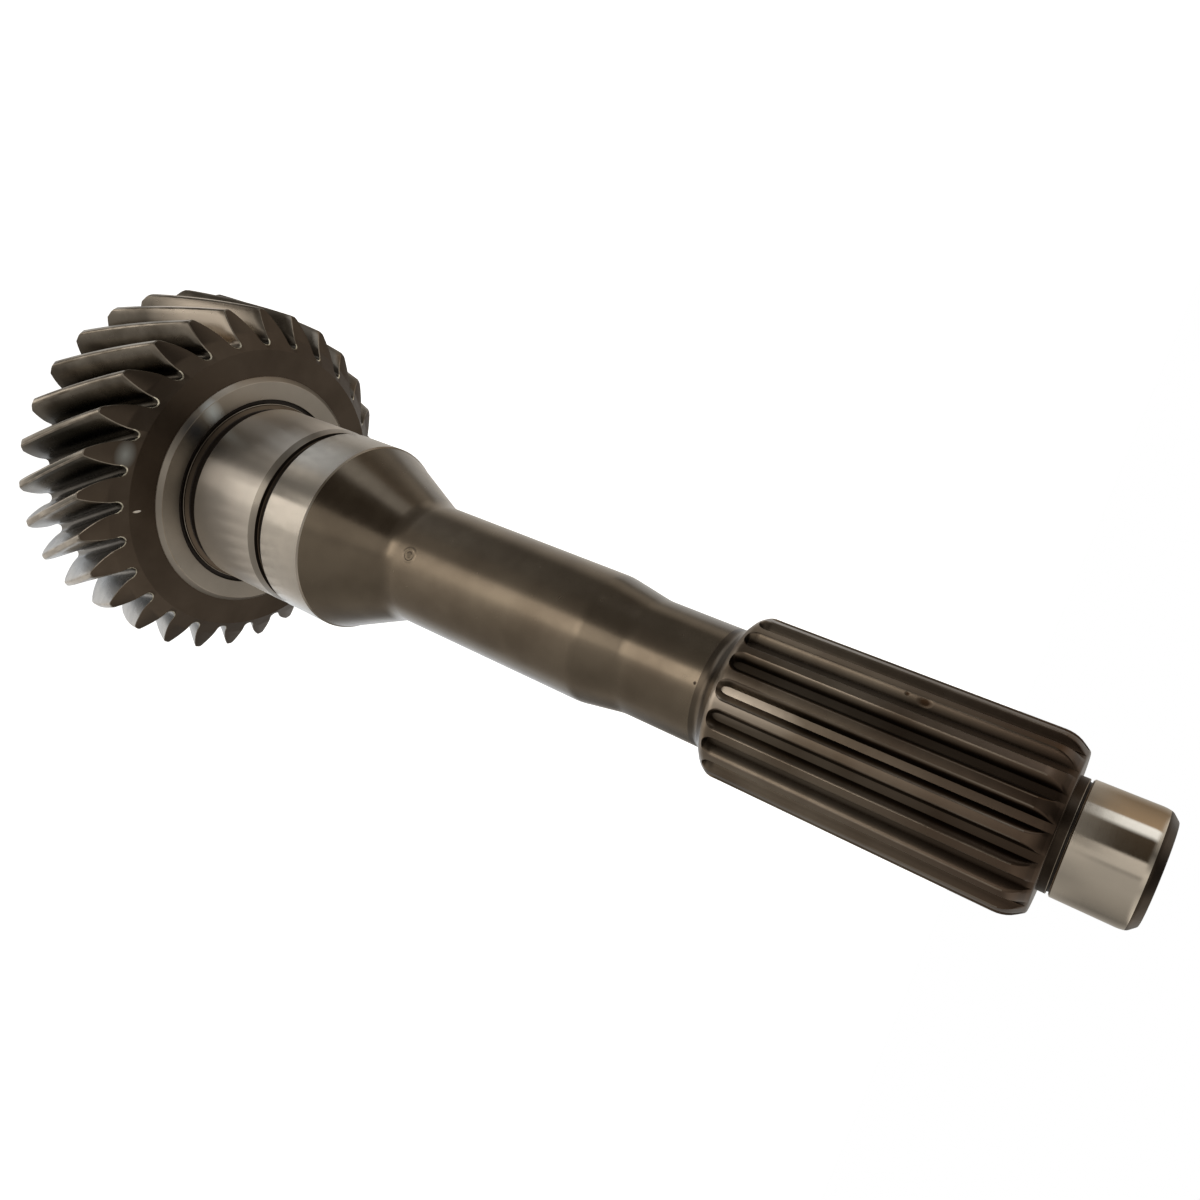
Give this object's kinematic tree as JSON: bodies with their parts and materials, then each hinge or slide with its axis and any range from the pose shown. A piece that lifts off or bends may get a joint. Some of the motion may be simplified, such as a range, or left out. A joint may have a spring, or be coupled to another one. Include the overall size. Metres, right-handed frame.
{
  "type": "transmission input shaft",
  "caption": "One-piece transmission input shaft with an integral helical gear, a ground bearing journal, a long neck, an involute clutch spline and a pilot journal.",
  "frame": {"origin": "centre of the rear annular face at the gear end, on which the shaft stands", "axes": "+Z along the shaft, from the rear face at the gear end to the pilot nose; +X and +Y across it, with a gear tooth crest 4.8 degrees from +X at the gear's front plane and a spline tooth crest on +X"},
  "size_m": [0.1104, 0.1104, 0.3216],
  "materials": {
    "shaft_steel": "satin"
  },
  "bodies": {
    "root": {"input_shaft": "shaft_steel"}
  },
  "joints": []
}
